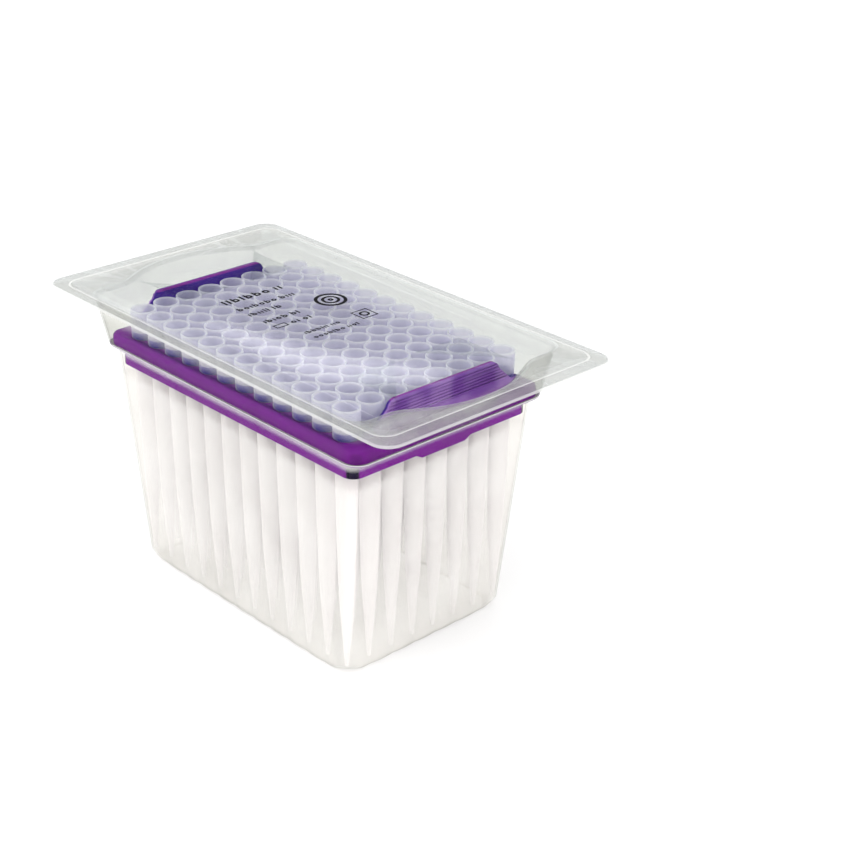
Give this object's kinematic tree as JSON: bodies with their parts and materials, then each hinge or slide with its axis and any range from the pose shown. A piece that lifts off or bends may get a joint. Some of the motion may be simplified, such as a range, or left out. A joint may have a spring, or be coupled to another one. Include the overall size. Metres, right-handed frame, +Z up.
{
  "type": "pipette tip refill pack",
  "caption": "Clear thermoformed pack with a sealed film lid, finger scoops and a ledge that carries a lift-out violet tray of long pipette tips.",
  "frame": {"origin": "centre of the pack's base, on the surface it stands on", "axes": "+X along the 12-tip length, +Y along the 8-tip width, +Z up"},
  "size_m": [0.1654, 0.093, 0.0936],
  "materials": {
    "clear_polyester": "clear, glossy, slightly grey-green thermoformed sheet",
    "clear_film": "clear, glossy, thin heat-sealed film",
    "violet_polypropylene": "glossy injection moulded violet",
    "natural_polypropylene": "natural milky translucent, smooth moulded"
  },
  "bodies": {
    "root": {"container": "clear_polyester", "lid_film": "clear_film", "tip_tray": "violet_polypropylene", "tips_column_01": "natural_polypropylene", "tips_column_02": "natural_polypropylene", "tips_column_03": "natural_polypropylene", "tips_column_04": "natural_polypropylene", "tips_column_05": "natural_polypropylene", "tips_column_06": "natural_polypropylene", "tips_column_07": "natural_polypropylene", "tips_column_08": "natural_polypropylene", "tips_column_09": "natural_polypropylene", "tips_column_10": "natural_polypropylene", "tips_column_11": "natural_polypropylene", "tips_column_12": "natural_polypropylene"}
  },
  "joints": []
}
